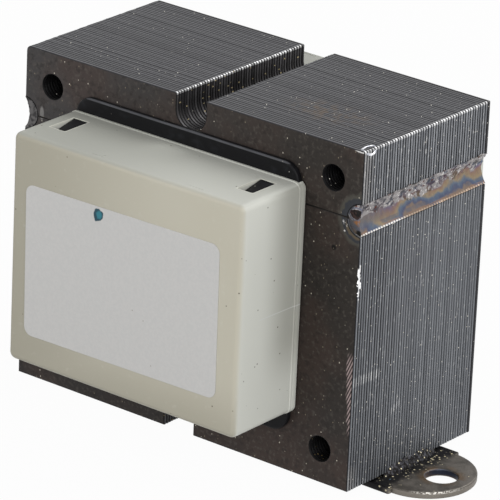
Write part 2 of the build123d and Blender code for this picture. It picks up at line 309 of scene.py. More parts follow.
def tube(name, rings):
    # closed tube over rings of equally many points, with both ends filled
    count = len(rings[0])
    faces = []
    for i in range(len(rings) - 1):
        for j in range(count):
            k = (j + 1) % count
            faces.append((i * count + j, i * count + k, (i + 1) * count + k, (i + 1) * count + j))
    faces.append(tuple(range(count)))
    faces.append(tuple(range((len(rings) - 1) * count, len(rings) * count)))
    mesh = bpy.data.meshes.new(name)
    mesh.from_pydata([point for points in rings for point in points], [], faces)
    made = bmesh.new()
    made.from_mesh(mesh)
    bmesh.ops.recalc_face_normals(made, faces=made.faces)
    made.to_mesh(mesh)
    made.free()
    return mesh


def placed(name, data):
    # a new object in the scene
    made = bpy.data.objects.new(name, data)
    bpy.context.scene.collection.objects.link(made)
    return made


def cutAway(mesh, cutters):
    # mesh less each cutter
    body = placed("body", mesh)
    tools = [placed("tool", cutter) for cutter in cutters]
    for tool in tools:
        cut = body.modifiers.new("cut", "BOOLEAN")
        cut.operation = "DIFFERENCE"
        cut.solver = "EXACT"
        cut.object = tool
    bpy.context.view_layer.update()
    result = bpy.data.meshes.new_from_object(body.evaluated_get(bpy.context.evaluated_depsgraph_get()))
    for spare in [body] + tools:
        bpy.data.objects.remove(spare)
    return result


def lumps(x, y, z):
    # noise from about -1 to 1
    return noise.noise(Vector((x, y, z)))


def piece(name, mesh, finishNames, standsFor, sharp=32):
    # puts a mesh in the scene as a piece of the object; edges over sharp degrees stay sharp
    mesh.name = name
    for finishName in finishNames:
        mesh.materials.append(finishes[finishName])
    mesh.shade_smooth()
    mesh.set_sharp_from_angle(angle=math.radians(sharp))
    made = placed(name, mesh)
    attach(made, "root")
    if standsFor:
        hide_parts(standsFor)


# laminated core
core = {
    "laminations": 50,
    "legWidth": 22.225 * mm,
    "windowWidth": 11.1125 * mm,
    "yoke": 11.1125 * mm,
    "holeInset": 5.55625 * mm,
    "holeRadius": 2.03 * mm,
    "notchWidth": 5.9 * mm,
    "notchDepth": 5.4 * mm,
    "weldGroove": 2.6 * mm,
    "edgeRound": 0.13 * mm,
    "wornCorner": 0.8 * mm,  # top left, from above
    "keenCorner": 0.2 * mm,  # every other corner of the upper edge
    "wander": 0.022 * mm,  # how far single laminations sit out of line
    "seed": 7,
    "holePoints": 24,
    "notchSteps": 16,
    "grooveSteps": 10,
    "wornSteps": 6,
    "keenSteps": 3,
    "faceSlope": 0.93,  # a face whose normal lies nearer than this to front or back is no cut edge
}
pitch = 2 * halfDepth / core["laminations"]
sheetStep = pitch / mm
notchSide = core["notchWidth"] / 2 / mm
holeX = sideX - core["holeInset"] / mm
holeSize = core["holeRadius"] / mm

# marks of use on the core and one painted glint, in millimetres; spots have a centre, radius, soft edge and
# stretch
marks = {
    "weldEnds": [(sideX, frontY, jointZ), (-sideX, -frontY, jointZ)],
    "heatHaze": (4.6, 3.9),  # distances from the ends of the welds
    "heatBlue": (3.8, 3.5),
    "heatStraw": (3.3, 3.0),
    "rubbedPatch": ((-29.9, frontY, 46.8), 0.3, 0.2, (1, 1, 0.36)),
    "darkDot": ((28.5, frontY, 40.7), 0.3, 0.25),
    "brightFlecks": ((30.3, frontY, 44.6), 0.3, 0.4, (1, 1, 0.5)),
    "paintedCornerGlint": ((sideX - 0.8, frontY, topZ), 0.4, 0.4, (0.6, 1, 2)),
    "smear": ((19.0, -6.0, topZ), 1.0, 4.5, (0.55, 1, 1)),
    "nick": {"low": 33.6, "widest": 35.6, "high": 38.9, "inset": 0.3, "taper": 0.05, "ragged": 0.4},
    "scrape": {
        "low": 12.8, "high": 22.8, "soft": 2.2, "taper": 0.7, "ragged": 0.9, "up": 0.95, "across": 2.2,
    },
    "struck": [  # near, far, rise, low, high, soft, strength
        (-15.4, -9.4, 0.035, 18.7, 19.7, 0.5, 1.0),
        (-5.6, -3.4, -0.45, 14.0, 14.8, 0.4, 0.6),
    ],
    "dustHigh": 12.0,  # dust of the strap welds on the lower edges
    "dustLow": 3.0,
}


def edgeNick(s):
    # a nick of bright metal in the front right edge
    nick = marks["nick"]
    near = s.away((sideX, frontY + nick["inset"], 0), (1, 1, 0))
    near = near + (s.z - nick["widest"]).size() * nick["taper"]
    ragged = near + s.cloud(0.9, 3.0).fade(0.42, 0.6) * nick["ragged"]
    return ragged.fade(0.52, 0.4) * s.z.between(nick["low"], nick["high"], 0.5)


def hatchedScrape(s):
    # slanting scratches below the nick, wider towards the top
    scrape = marks["scrape"]
    hatch = (s.z * scrape["up"] - s.x * scrape["across"]).wave().fade(0.35, 0.65)
    taper = s.z.fade(scrape["low"] - 2.0, scrape["high"]) * scrape["taper"]
    ragged = (s.cloud(0.8) - 0.5) * scrape["ragged"]
    edge = (s.x + taper + ragged).fade(sideX - 0.75, sideX - 0.3)
    long = s.z.between(scrape["low"], scrape["high"], scrape["soft"])
    return hatch * edge * long * s.y.fade(frontY + 1.0, frontY + 0.5)


def struckMarks(s):
    # short marks across neighbouring laminations, on the right side
    first, second = [
        s.y.between(near, far, soft) * (s.z + s.y * rise).between(low, high, soft) * strength
        for near, far, rise, low, high, soft, strength in marks["struck"]
    ]
    return first.larger(second) * s.x.fade(0.0, 1.0)


def makeLaminationFace():
    s = Finish("laminationFace", {
        "left": (63, 61, 61),
        "right": (48, 44, 41),
        "low": (44, 40, 38, 0.8),
        "warm": (66, 54, 49, 0.6),
        "grain": (84, 79, 74, 0.5),
        "shade": (33, 30, 28, 0.5),
        "haze": (82, 81, 75, 0.6),
        "blue": (46, 50, 58, 0.8),
        "straw": (98, 86, 68, 0.8),
        "rubbed": (128, 126, 124, 0.8),
        "black": (20, 18, 18),
        "bare": (226, 224, 222),
        "scraped": (168, 150, 149, 0.9),
        "dust": (212, 205, 190),
        "grit": (142, 132, 114, 0.7),
        "rough": (0.46, 0.16, 0.8, 4.0),
        "bump": (0.35, 0.04, 2.2, 4.0),
        "metal": 0.25,
        "level": 0.2,
    })
    s.tone = s.mix(s.x.fade(-sideX, sideX), "left", "right")
    s.paint("low", s.z.fade(jointZ, footZ))
    s.paint("warm", s.cloud(0.07, 3.0).fade(0.4, 0.62))
    s.paint("grain", s.cloud(1.5, 4.0).fade(0.5, 0.72))
    s.paint("shade", s.cloud(1.1, 4.0).fade(0.5, 0.3))
    right, left = [s.away(end) for end in marks["weldEnds"]]
    reach = right.smaller(left) + (s.cloud(0.7) - 0.5) * 1.2
    s.paint("haze", reach.fade(*marks["heatHaze"]))
    s.paint("blue", reach.fade(*marks["heatBlue"]))
    s.paint("straw", reach.fade(*marks["heatStraw"]) * s.z.fade(jointZ, jointZ - 1.5))
    s.paint("rubbed", s.spot(*marks["rubbedPatch"]))
    s.paint("black", s.spot(*marks["darkDot"]))
    s.paint("bare", s.cloud(2.8, 3.0).fade(0.56, 0.62) * s.spot(*marks["brightFlecks"]))
    s.paint("scraped", hatchedScrape(s))
    s.paint("bare", edgeNick(s))
    # painted highlight: a glint on the front top right corner, in the colour of bare metal
    s.paint("bare", s.spot(*marks["paintedCornerGlint"]))
    s.scatter("dust", scale=0.9, radius=0.12, share=0.2)
    s.scatter("dust", scale=1.5, radius=0.16, share=0.08, stretch=(1, 1, 0.6))
    s.scatter("grit", scale=1.9, radius=0.22, share=0.12, stretch=(1, 1, 0.7))
    s.finish()


def makeCutEdge():
    s = Finish("cutEdge", {
        "ribDark": (90, 92, 97),
        "ribLight": (168, 171, 176),
        "even": (106, 109, 114),
        "gap": (20, 21, 24),
        "topDark": (82, 82, 84),
        "topLight": (108, 108, 111),
        "topGap": (48, 48, 51),
        "wallRib": (108, 106, 108),
        "wallGap": (8, 8, 9),
        "holeWall": (8, 8, 9, 0.8),
        "bright": (250, 250, 250),
        "chip": (222, 222, 222),
        "struck": (222, 222, 222, 0.9),
        "dust": (235, 231, 220),
        "fibre": (196, 180, 140),
        "warm": (206, 180, 122),
        "smear": (104, 90, 76, 0.6),
        "firstEdge": (176, 172, 168, 0.45),
        "seam": (40, 37, 35),
        "lastEdge": (30, 28, 30, 0.85),
        "rough": (0.4, 0.2),
        "bump": (0.3, 0.05),
        "metal": 0.5,
        "level": 0.2,
    })
    count = s.y / sheetStep
    sheet = count.floor()
    own = s.node("TexWhiteNoise", {"noise_dimensions": "1D"}, {"W": sheet})
    offMiddle = (count - sheet - 0.5).size()
    crown = offMiddle.fade(0.42, 0.14)
    streak = s.cloud(1.0, 3.0, (0.5, 1.5, 0.22))
    chips = s.cloud(1.0, 3.0, (1, 1.5, 0.9)).fade(0.6, 0.68)
    upper = s.z.fade(topZ - 0.12, topZ - 0.05)
    notch = s.x.size().fade(notchSide + 0.35, notchSide + 0.1) * (1 - upper)
    hole = (s.x.size() - holeX).size().fade(holeSize + 0.47, holeSize + 0.17)
    hole = hole * (1 - upper) * s.z.fade(footZ + 0.2, footZ + 1.0)
    # the walls of the notch and the holes are recesses that get painted shade
    dark = notch.larger(hole)

    # the ribs have their own tone, and are more alike below the joint
    alike = s.z.fade(jointZ, jointZ - 6.0)
    rib = s.mix(own * 0.45 + streak * 0.8 - 0.15, "ribDark", "ribLight")
    rib = s.mix(alike * 0.45, rib, "even")
    rib = s.mix(chips * (0.45 - alike * 0.25), rib, "chip")
    rib = s.mix(upper, rib, s.mix(own * 0.6 + streak * 0.3, "topDark", "topLight"))
    rib = s.mix(dark, rib, s.mix(own * 0.5 + 0.2, "wallGap", "wallRib"))
    # the gaps between laminations are dark joints deepened with painted shade, on the sides, the top and
    # the notch walls
    gap = s.mix(upper, "gap", "topGap")
    gap = s.mix(dark, gap, "wallGap")
    gap = s.mix(alike * s.y.fade(frontY + 6.0, 0.0) * (1 - dark) * 0.35, gap, "even")
    s.tone = s.mix(crown, gap, rib)
    # painted shade deep inside the holes
    s.paint("holeWall", hole * (1 - notch))

    # keen edges of the top glint, at the right side and at the notch
    keen = s.x.fade(sideX - 0.42, sideX - 0.28).larger((s.x + notchSide).size().fade(0.4, 0.28))
    glint = keen * s.z.fade(topZ - 0.42, topZ - 0.3) * crown * (0.35 + own * 0.65)
    s.paint("bright", glint)
    outer = s.x.fade(sideX - 0.5, sideX - 0.35) * s.z.fade(topZ, topZ - 0.5)
    outer = outer * s.z.fade(jointZ, jointZ + 3.0).larger(s.z.fade(footZ + 4.5, footZ + 3.0) * 0.7)
    s.paint("firstEdge", outer * crown * s.y.fade(frontY + 3.2, frontY + 0.4))
    s.paint("seam", (s.z - jointZ).size().fade(0.35, 0.2) * s.x.fade(sideX - 2.0, sideX - 2.3))
    s.paint("lastEdge", s.y.fade(backY - 0.8, backY - 0.6))
    s.paint("bright", edgeNick(s))
    s.paint("struck", struckMarks(s) * offMiddle.fade(0.28, 0.08) * (0.3 + own * 0.7))

    # smear, dust and fibres
    s.paint("smear", s.spot(*marks["smear"]) * s.cloud(0.8, 4.0).fade(0.4, 0.65) * upper)
    s.scatter("dust", scale=1.5, radius=0.17, share=0.14)
    s.scatter("fibre", scale=1.3, radius=0.18, share=0.5, stretch=(1, 0.5, 1), mask=notch)
    low = s.z.fade(marks["dustHigh"], marks["dustLow"]) * (1 - upper)
    s.scatter("warm", scale=1.7, radius=0.26, share=0.3, mask=low)
    near = s.z.fade(marks["dustHigh"] - 3.0, marks["dustLow"]) * s.y.size().fade(9.0, 5.0)
    s.scatter("dust", scale=1.2, radius=0.24, share=0.5, mask=near * (1 - upper))
    s.finish(streak - glint * 0.75, crown)


def eOutline():
    # E stamping seen from the front, legs up, anticlockwise from the lower left corner
    legHalf = core["legWidth"] / 2
    window = legHalf + core["windowWidth"]
    notch = core["notchWidth"] / 2
    notchTop = coreBottom + core["notchDepth"] - notch
    windowFloor = coreBottom + core["yoke"]
    groove, steps = core["weldGroove"], core["grooveSteps"]
    points = [(-halfWidth, coreBottom), (-notch, coreBottom)]
    points += arc((0, notchTop), notch, 180, 0, core["notchSteps"])
    points += [(notch, coreBottom), (halfWidth, coreBottom)]
    points += arc((halfWidth, jointHeight), groove, 270, 180, steps)
    for left, right in ((window, legHalf), (-legHalf, -window)):
        points += [(left, jointHeight), (left, windowFloor), (right, windowFloor), (right, jointHeight)]
    points += arc((-halfWidth, jointHeight), groove, 0, -90, steps)
    return points


def iOutline():
    # I stamping seen from the front, with the notch in its upper edge
    notch = core["notchWidth"] / 2
    notchFloor = coreTop - core["notchDepth"] + notch
    groove, steps = core["weldGroove"], core["grooveSteps"]
    worn, keen, keenSteps = core["wornCorner"], core["keenCorner"], core["keenSteps"]
    points = arc((-halfWidth, jointHeight), groove, 90, 0, steps)
    points += arc((halfWidth, jointHeight), groove, 180, 90, steps)
    points += arc((halfWidth - keen, coreTop - keen), keen, 0, 90, keenSteps)
    points += arc((notch + keen, coreTop - keen), keen, 90, 180, keenSteps)
    points += arc((0, notchFloor), notch, 0, -180, core["notchSteps"])
    points += arc((-notch - keen, coreTop - keen), keen, 0, 90, keenSteps)
    points += arc((-halfWidth + worn, coreTop - worn), worn, 90, 180, core["wornSteps"])
    return points


def laminationStack(name, outline, holeHeight, node, seed):
    # fifty single stampings, each a little out of line with its neighbours
    x, radius = halfWidth - core["holeInset"], core["holeRadius"]
    holes = [ring((side * x, holeHeight), radius, core["holePoints"]) for side in (-1, 1)]
    stamping = stampedPlate([outline] + holes, pitch, core["edgeRound"])
    chance = random.Random(seed)
    sheets = []
    for sheet in range(core["laminations"]):
        copy = standUp(stamping.copy(), -halfDepth + (sheet + 0.5) * pitch)
        shift = [chance.uniform(-1, 1) * core["wander"] for axis in range(2)]
        copy.transform(Matrix.Translation((shift[0], 0, shift[1])))
        sheets.append(copy)
    mesh = joined(sheets)
    for face in mesh.polygons:
        face.material_index = 0 if abs(face.normal.y) > core["faceSlope"] else 1
    piece(name, mesh, ["laminationFace", "cutEdge"], node, sharp=50)


makeLaminationFace()
makeCutEdge()
laminationStack(
    "eLaminations", eOutline(), coreBottom + core["holeInset"], "e_lamination_stack", core["seed"])
laminationStack(
    "iLaminations", iOutline(), coreTop - core["holeInset"], "i_lamination_stack", core["seed"] + 1)
print("core built")

# welds across the joint
bead = {
    "hollow": 1.0 * mm,
    "endHollow": 0.35 * mm,
    "endLength": 2.2 * mm,
    "endProud": 0.28 * mm,
    "endRound": 0.5 * mm,
    "endOpen": 0.12,  # share of the bead's size left at its very ends
    "ripple": 0.16 * mm,
    "rippleNoise": (420, 1.6),
    "roughShare": 1.1,
    "crescentShare": 0.16,
    "puddle": 1.35 * mm,  # spacing of the crescent ripples
    "crust": 0.5 * mm,
    "crustNoise": (1500, 4.5),
    "crustLevel": 0.15,
    "crustRise": 2.2,  # how soon the crust sets in above the middle
    "crustEdge": 0.6,  # share of it that is lost at the upper edge
    "spill": 0.12,  # share by which the upper edge runs over the groove
    "spillNoise": 600,
    "proud": 0.07 * mm,
    "proudMost": 0.16 * mm,
    "fit": 0.985,  # share of the groove that the bead's root fills
    "edgeFit": 0.97,
    "craterDepth": 0.55 * mm,
    "craterFromEnd": 0.9 * mm,
    "craterLength": 0.8 * mm,
    "craterHeight": (0.38, 0.26),
    "stations": 200,
    "across": 26,
    "rootSteps": 9,
    "crater": ((sideX - 0.5, frontY - 0.1, jointZ + 1.0), (0.62, 0.9, 1.3)),
    "ember": ((sideX - 0.1, frontY - 0.1, jointZ - 0.3), 0.35, 0.5, (0.6, 0.6, 1.5)),
    "pit": ((sideX - 0.2, frontY - 0.1, jointZ - 2.0), 0.4, 0.25, (0.8, 1, 1)),
}


def makeWeldMetal():
    s = Finish("weldMetal", {
        "steel": (102, 99, 104),
        "crust": (160, 156, 156),
        "tips": (226, 222, 220),
        "crustGap": (48, 42, 42, 0.55),
        "black": (16, 14, 14),
        "edge": (236, 232, 226),
        "orangeEdge": (180, 158, 138),
        "amber": (136, 108, 90, 0.7),
        "navy": (74, 86, 108, 0.5),
        "plain": (96, 94, 94),
        "plainDark": (52, 51, 52),
        "rust": (96, 56, 48),
        "scale": (60, 44, 42),
        "ember": (160, 108, 66),
        "deep": (96, 98, 112),
        "tints": [  # from the lower edge up
            (0.0, (124, 108, 96)),
            (0.09, (78, 84, 108)),
            (0.24, (92, 106, 124)),
            (0.36, (146, 130, 104)),
            (0.5, (138, 112, 94)),
            (0.62, (116, 94, 112)),
            (0.76, (94, 108, 130)),
            (1.0, (142, 136, 128)),
        ],
        "rough": (0.32, 0.22),
        "bump": (0.5, 0.14, 1.9, 5.0),
        "metal": 0.7,
    })
    # temper colours, which drift up and down along the bead and turn grey towards the front
    rise = (s.z - jointZ) / (2 * core["weldGroove"] / mm) + 0.5
    drift = (s.cloud(0.16) - 0.5) * 1.1 + (s.cloud(0.9, 3.0) - 0.5) * 0.34
    tint = s.node("ValToRGB", {"stops": s.look["tints"]}, {0: rise * 0.9 + drift})
    grey = s.y.fade(backY - 20.0, frontY + 2.0) * rise.fade(0.1, 0.35)
    s.tone = s.mix(grey * 0.8 + s.cloud(1.8, 4.0).fade(0.5, 0.75) * 0.3, tint, "steel")

    # crust on the upper half
    crusted = (rise + (s.cloud(0.26, 3.0) - 0.5)).fade(0.5, 0.56)
    arcs = (s.y * 0.31 + rise * 0.9 + s.cloud(0.28, 3.0) * 2.4).wave()
    flakes = (s.cloud(1.3, 4.0) - 0.1 + arcs * 0.2).fade(0.36, 0.54)
    s.paint("crust", crusted * flakes)
    s.paint("crustGap", crusted * (1 - flakes))
    s.paint("tips", crusted * s.cloud(2.4, 3.0).fade(0.56, 0.64) * arcs.fade(0.2, 0.6))
    s.paint("rust", crusted * s.cloud(1.6, 2.0, (1, 0.7, 1)).fade(0.64, 0.69))

    # lower edge, with a painted highlight: a bright dot on each lamination
    swirl = s.cloud(0.35).fade(0.4, 0.6)
    s.paint("amber", rise.between(0.07, 0.1, 0.02) * swirl)
    s.paint("navy", rise.between(0.14, 0.2, 0.04) * swirl)
    edgeGlints = s.mix(s.y.fade(frontY + 9.0, frontY + 13.0), "edge", "orangeEdge")
    s.paint(edgeGlints, rise.fade(0.075, 0.05) * (s.y / sheetStep).wave().fade(0.9, 0.4))

    # crater in the fuller end
    bowl = s.away(*bead["crater"]) + (s.cloud(0.9, 3.0) - 0.5) * 0.7
    s.paint("deep", bowl.fade(1.5, 1.3) * bowl.fade(0.9, 1.2))
    s.paint(s.mix(s.cloud(2.2, 3.0).fade(0.45, 0.58), "black", "scale"), bowl.fade(1.05, 0.9))
    s.paint("ember", s.spot(*bead["ember"]) * s.cloud(1.6).fade(0.42, 0.55))
    s.paint("black", s.spot(*bead["pit"]))

    # the left bead's front end is plain grey
    plain = s.mix(s.cloud(1.2, 4.0).fade(0.4, 0.6), "plain", "plainDark")
    s.paint(plain, s.x.fade(1.0, -1.0) * s.y.fade(frontY + 6.0, frontY + 2.0))
    s.finish(crusted)


def beadDip(side, y, v, fromBlob):
    # how deep the skin lies under the core's side, at a height v from -1 to 1 across the bead
    full = max(0.0, 1 - fromBlob / bead["endLength"])
    hollow = bead["hollow"] + (bead["endHollow"] - bead["hollow"]) * full * full * (3 - 2 * full)
    along, across = bead["rippleNoise"]
    rough = lumps(y * along, v * across, side * 3.0)
    crescent = math.sin(2 * math.pi * (y / bead["puddle"] + side * 0.5 * v * v))
    lift = bead["ripple"] * (bead["roughShare"] * rough + bead["crescentShare"] * crescent)
    along, across = bead["crustNoise"]
    flake = max(0.0, lumps(y * along, v * across, 5.0) + bead["crustLevel"])
    crust = bead["crust"] * min(1.0, max(0.0, bead["crustRise"] * v)) * flake
    middle, wide = bead["craterHeight"]
    outOfCrater = (fromBlob - bead["craterFromEnd"]) / bead["craterLength"]
    crater = bead["craterDepth"] * math.exp(-((v - middle) / wide) ** 2 - outOfCrater ** 2)
    crust *= 1 - bead["crustEdge"] * v ** 8
    return hollow * (1 - v * v) - lift * (1 - v ** 4) - crust + crater


def weldBead(name, side, node):
    # the skin is a shallow hollow with a crusted upper half; its root follows the round groove
    rows = []
    root = core["weldGroove"] * bead["fit"]
    blobEnd = -side * (halfDepth + bead["endProud"])
    plainEnd = side * halfDepth
    for i in range(bead["stations"] + 1):
        y = blobEnd + (plainEnd - blobEnd) * i / bead["stations"]
        fromBlob = abs(y - blobEnd)
        closing = min(1.0, math.sqrt(min(1.0, fromBlob / bead["endRound"]) + bead["endOpen"]))
        row = []
        for j in range(bead["across"] + 1):
            v = 2 * j / bead["across"] - 1
            above = max(0.0, v) ** 6
            ragged = 0.5 + lumps(y * bead["spillNoise"], side * 5.0, 2.0)
            spill = bead["spill"] * above * max(0.0, ragged)
            dip = max(beadDip(side, y, v, fromBlob), -bead["proudMost"])
            x = halfWidth - dip + bead["proud"] * above
            row.append((side * x, y, jointHeight + v * root * (bead["edgeFit"] + spill) * closing))
        for j in range(bead["rootSteps"]):
            angle = math.radians(90 + 180 * (j + 0.5) / bead["rootSteps"])
            inward, up = root * closing * math.cos(angle), root * closing * math.sin(angle)
            row.append((side * (halfWidth + inward), y, jointHeight + up))
        rows.append(row)
    piece(name, tube(name, rows), ["weldMetal"], node, sharp=60)


makeWeldMetal()
weldBead("weldBeadRight", 1, "right_weld_bead")
weldBead("weldBeadLeft", -1, "left_weld_bead")

# mounting strap and its welds
strap = {
    "thickness": 1.2 * mm,
    "width": 18.45 * mm,
    "earRadius": 8.42 * mm,
    "earCentre": 36.1875 * mm,
    "shoulder": 36.4375 * mm,
    "shoulderCut": (0.25 * mm, 0.3 * mm),
    "holeSpacing": 79.375 * mm,
    "holeRadius": 2.6 * mm,
    "edgeRound": 0.22 * mm,
    "stepFoot": 31.3375 * mm,
    "stepHead": 29.8375 * mm,
    "holePoints": 36,
    "earSteps": 40,
}
fillet = {
    "length": 13.0 * mm,
    "leg": 1.0 * mm,
    "rise": 1.5,  # height over width
    "root": 0.05 * mm,
    "lumps": (1100, 0.45),  # scale and size
    "grains": (2400, 0.2),
    "waist": 0.28,
    "endShare": 0.25,
    "stations": 60,
    "around": 8,
}


def makeStrapSteel():
    s = Finish("strapSteel", {
        "base": (106, 101, 95),
        "dull": (76, 72, 67),
        "rust": (104, 84, 62, 0.7),
        "soot": (20, 19, 21),
        "blue": (70, 80, 100),
        "wall": (134, 128, 120, 0.75),
        "boreBlue": (34, 38, 50),
        "boreBrown": (74, 58, 46),
        "grit": (140, 134, 120),
        "rim": (226, 222, 214, 0.8),
        "dust": (226, 214, 180),
        "glitter": (120, 160, 200),
        "rough": (0.36, 0.22, 1.5, 4.0),
        "bump": (0.4, 0.1, 1.8, 5.0),
        "metal": 0.55,
        "level": 0.2,
    })
    # distances out from the core, out from the edge of the hole and down from the ear's top
    earX = strap["holeSpacing"] / 2 / mm
    thick = strap["thickness"] / mm
    out = s.x.size() - sideX
    mirrored = s.node("CombineXYZ", {}, {0: s.x.size(), 1: s.y, 2: s.z})
    offHole = s.away((earX, 0.0, thick), place=mirrored) - strap["holeRadius"] / mm
    down = thick - s.z
    s.tone = s.mix(s.cloud(0.45, 4.0).fade(0.35, 0.7), "base", "dull")
    s.paint("rust", offHole.fade(1.8, 0.3) * s.cloud(0.5).fade(0.35, 0.6))
    # darker near the core: partly weld soot, partly painted shade where the ear meets the core
    sootAndShade = (out + (s.cloud(0.6, 3.0) - 0.5) * 3.4).fade(4.0, 1.8)
    s.paint("soot", sootAndShade)
    s.paint("blue", offHole.fade(0.2, -0.1) * s.x.size().fade(earX + 0.5, earX - 1.5))
    bore = s.mix(s.y.fade(-1.5, 1.5), "boreBrown", "boreBlue")
    s.paint(bore, offHole.fade(0.25, 0.1) * down.fade(0.1, 0.25))
    s.scatter("dust", scale=1.6, radius=0.36, share=0.5, mask=sootAndShade)
    s.scatter("grit", scale=2.3, radius=0.34, share=0.35, mask=sootAndShade)
    s.scatter("glitter", scale=1.5, radius=0.2, share=0.06, mask=sootAndShade)
    s.scatter("dust", scale=1.4, radius=0.2, share=0.08, mask=1 - sootAndShade)
    s.paint("wall", down.fade(0.18, 0.34) * out.fade(1.5, 4.0) * offHole.fade(0.6, 1.6))
    rim = down.between(0.1, 0.34, 0.1) * s.cloud(3.0, 3.0).fade(0.46, 0.54)
    rim = rim * offHole.fade(1.9, 3.4) * out.fade(5.5, 8.5)
    s.paint("rim", rim * s.y.fade(1.0, -2.0))
    s.finish()


def makeSootyWeld():
    s = Finish("sootyWeld", {
        "soot": (26, 24, 24),
        "metalTone": (74, 74, 79),
        "dust": (226, 216, 186),
        "rough": (0.45, 0.1, 2.0, 2.0),
        "bump": (0.6, 0.14, 2.4, 5.0),
        "metal": 0.5,
        "level": 0.2,
    })
    s.tone = s.mix(s.cloud(2.4, 4.0).fade(0.46, 0.62), "soot", "metalTone")
    s.scatter("dust", scale=2.0, radius=0.34, share=0.5)
    s.finish()


def strapOutline():
    # seen from above, right half then left half, anticlockwise
    half = strap["width"] / 2
    beyond = strap["shoulder"] - strap["earCentre"]
    meet = math.degrees(math.atan2(math.sqrt(strap["earRadius"] ** 2 - beyond ** 2), beyond))
    cutX, cutY = strap["shoulderCut"]
    points = [(strap["shoulder"] - cutX, -half), (strap["shoulder"], -half + cutY)]
    points += arc((strap["earCentre"], 0), strap["earRadius"], -meet, meet, strap["earSteps"])
    points += [(strap["shoulder"], half - cutY), (strap["shoulder"] - cutX, half)]
    return points + [(-x, -y) for x, y in points]


def mountingStrap():
    # flat strap with its middle stepped up to the core
    earX, thick = strap["holeSpacing"] / 2, strap["thickness"]
    holes = [ring((side * earX, 0), strap["holeRadius"], strap["holePoints"]) for side in (-1, 1)]
    mesh = stampedPlate([strapOutline()] + holes, thick, strap["edgeRound"], 2)
    mesh.transform(Matrix.Translation((0, 0, thick / 2)))
    made = bmesh.new()
    made.from_mesh(mesh)
    for x in (-strap["stepFoot"], -strap["stepHead"], strap["stepHead"], strap["stepFoot"]):
        everything = list(made.verts) + list(made.edges) + list(made.faces)
        bmesh.ops.bisect_plane(made, geom=everything, plane_co=(x, 0, 0), plane_no=(1, 0, 0))
    for vertex in made.verts:
        run = (strap["stepFoot"] - abs(vertex.co.x)) / (strap["stepFoot"] - strap["stepHead"])
        vertex.co.z += (coreBottom - thick) * min(1.0, max(0.0, run))
    made.to_mesh(mesh)
    made.free()
    piece("mountingStrap", mesh, ["strapSteel"], "mounting_strap", sharp=40)


def strapWeld(name, side, node):
    # lumpy fillet between the core side and the ear
    stations, around, top = fillet["stations"], fillet["around"], strap["thickness"]
    lumpScale, lumpSize = fillet["lumps"]
    grainScale, grainSize = fillet["grains"]
    rows = []
    for i in range(stations + 1):
        y = -fillet["length"] / 2 + fillet["length"] * i / stations
        taper = min(1.0, 4 * min(i, stations - i) / stations + fillet["endShare"])
        lump = 1 + lumpSize * lumps(y * lumpScale, side * 2.0, 1.0)
        row = []
        for j in range(around + 1):
            angle = math.radians(90 * j / around)
            waist = 1 - fillet["waist"] + fillet["waist"] * abs(math.cos(2 * angle))
            reach = fillet["leg"] * taper * lump * waist
            reach *= 1 + grainSize * lumps(y * grainScale, angle * 2, 4.0)
            x = halfWidth + reach * math.cos(angle)
            row.append((side * x, y, top + max(0.0, reach * fillet["rise"] * math.sin(angle))))
        row.append((side * (halfWidth - fillet["root"]), y, top))
        rows.append(row)
    piece(name, tube(name, rows), ["sootyWeld"], node, sharp=70)


makeStrapSteel()
makeSootyWeld()
mountingStrap()
strapWeld("strapWeldRight", 1, "right_strap_weld")
strapWeld("strapWeldLeft", -1, "left_strap_weld")
print("strap and welds built")

# shrouds and covers, which fit into each other
shroud = {
    "thickness": 1.1 * mm,
    "corner": 3.0 * mm,
    "cornerSteps": 12,
    "edgeRound": 0.3 * mm,
    "wall": 0.75 * mm,
    "ledge": 1.25 * mm,
    "clearance": 0.2 * mm,
    "legGap": 0.25 * mm,
    "middleGap": 0.6 * mm,
}
linerBottom = coreBottom + core["yoke"] + shroud["clearance"]
linerTop = jointHeight - shroud["clearance"]
openingBottom = linerBottom + shroud["ledge"]
openingTop = linerTop - shroud["wall"]
linerOuter = shroudHigh.x
linerInner = linerOuter - shroud["wall"]
shroudFace = halfDepth + shroud["thickness"]

cover = {
    "wall": 1.3 * mm,
    "sideCorner": 1.2 * mm,
    "leastCorner": 0.25 * mm,
    "cornerSteps": 8,
    "frontRound": 0.9 * mm,
    "frontSteps": 6,
    "lipWidth": 0.5 * mm,
    "lipProud": 0.1 * mm,
    "lipEdge": 0.08 * mm,
    "lipSlope": (-0.02 * mm, 0.06 * mm),
    "skirtGap": 0.2 * mm,
    "skirtRound": 0.04 * mm,
    "skirtPlay": 0.1 * mm,
    "slotWidth": 3.05 * mm,
    "slotLength": 5.7 * mm,
    "slotRear": 2.8 * mm,
    "slotSide": 4.25 * mm,
    "slotCorner": 0.35 * mm,
    "exitWidth": 18.0 * mm,
    "exitDepth": 3.4 * mm,
    "exitOffset": -4.5 * mm,
    "markProud": 0.05 * mm,
    "markSunk": 0.2 * mm,
    "marks": [(-6.85, 2.2, -29.3, 0.8), (12.4, 2.9, -29.6, 0.12)],  # x, width, y, length in mm
}
coverHalf = coverHigh.x - cover["lipProud"]
coverTop = coverHigh.z - cover["lipProud"]
coverBottom = coverLow.z + cover["lipProud"]
coverCentre = (coverTop + coverBottom) / 2
coverFace = -coverLow.y
slotX = coverHalf - cover["slotSide"]
slotNear = shroudFace + cover["slotRear"]
slotFar = slotNear + cover["slotLength"]

# arm under a cover wall, with the ramp that springs into the slot
latch = {
    "play": 0.2 * mm,
    "underWall": 0.12 * mm,
    "thickness": 1.0 * mm,
    "tip": 0.8 * mm,
    "catchPlay": 0.15 * mm,
    "catchSunk": 0.05 * mm,
    "rampFoot": 0.27 * mm,
    "edgeRound": 0.05 * mm,
}


